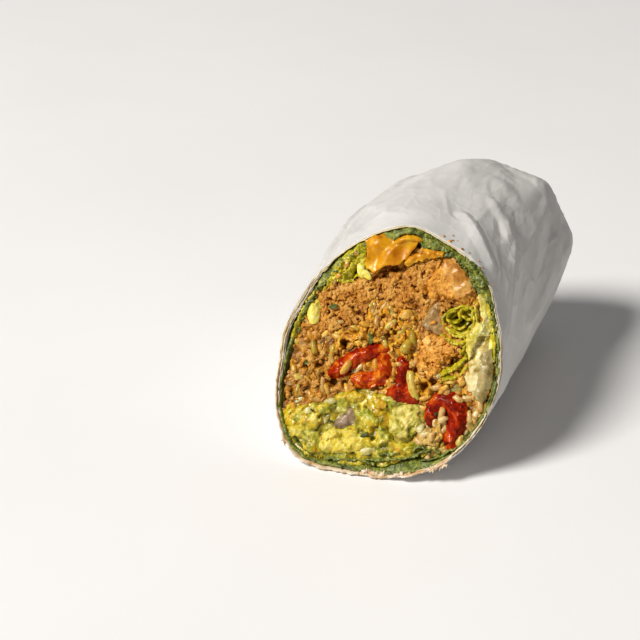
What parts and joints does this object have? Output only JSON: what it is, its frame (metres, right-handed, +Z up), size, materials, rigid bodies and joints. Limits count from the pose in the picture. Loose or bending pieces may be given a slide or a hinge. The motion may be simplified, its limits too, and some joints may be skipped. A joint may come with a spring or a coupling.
{
  "type": "turkey wrap half",
  "caption": "Half of a rolled green tortilla wrap with ground turkey, rice, peppers and avocado, cut at a slant and lying in its white paper.",
  "frame": {"origin": "on the surface that the roll lies on, under the middle of the cut face", "axes": "+Y along the roll from the cut face to its folded end, +X to the right seen from the cut, +Z up"},
  "size_m": [0.0905, 0.1388, 0.0793],
  "materials": {
    "paper": "matt white wrapping paper",
    "tortilla": "soft matt green flatbread",
    "turkey": "moist crumbly browned meat",
    "rice": "moist sauced grains",
    "guacamole": "wet lumpy paste",
    "avocado": "smooth and moist",
    "cheese": "melted, glossy",
    "lettuce": "thin wet leaf",
    "lettuce_rib": "pale crisp stalk",
    "pepper": "roasted, wet and glossy",
    "onion": "translucent, cooked",
    "red_onion": "translucent, purple grey"
  },
  "bodies": {
    "root": {"paper_wrap": "paper", "tortilla": "tortilla", "ground_turkey": "turkey", "turkey_chunk_upper": "turkey", "turkey_chunk_lower": "turkey", "rice_middle": "rice", "rice_left": "rice", "rice_right": "rice", "rice_edge": "rice", "guacamole": "guacamole", "avocado_piece_left": "avocado", "avocado_piece_lower": "avocado", "avocado_lump": "avocado", "cheese_sheet": "cheese", "cheese_strip": "cheese", "lettuce_upper": "lettuce", "lettuce_curl": "lettuce", "lettuce_leaf": "lettuce", "lettuce_band": "lettuce", "lettuce_rib": "lettuce_rib", "pepper_long": "pepper", "pepper_short": "pepper", "pepper_right": "pepper", "pepper_hook": "pepper", "onion_piece": "onion", "red_onion_piece": "red_onion"}
  },
  "joints": []
}
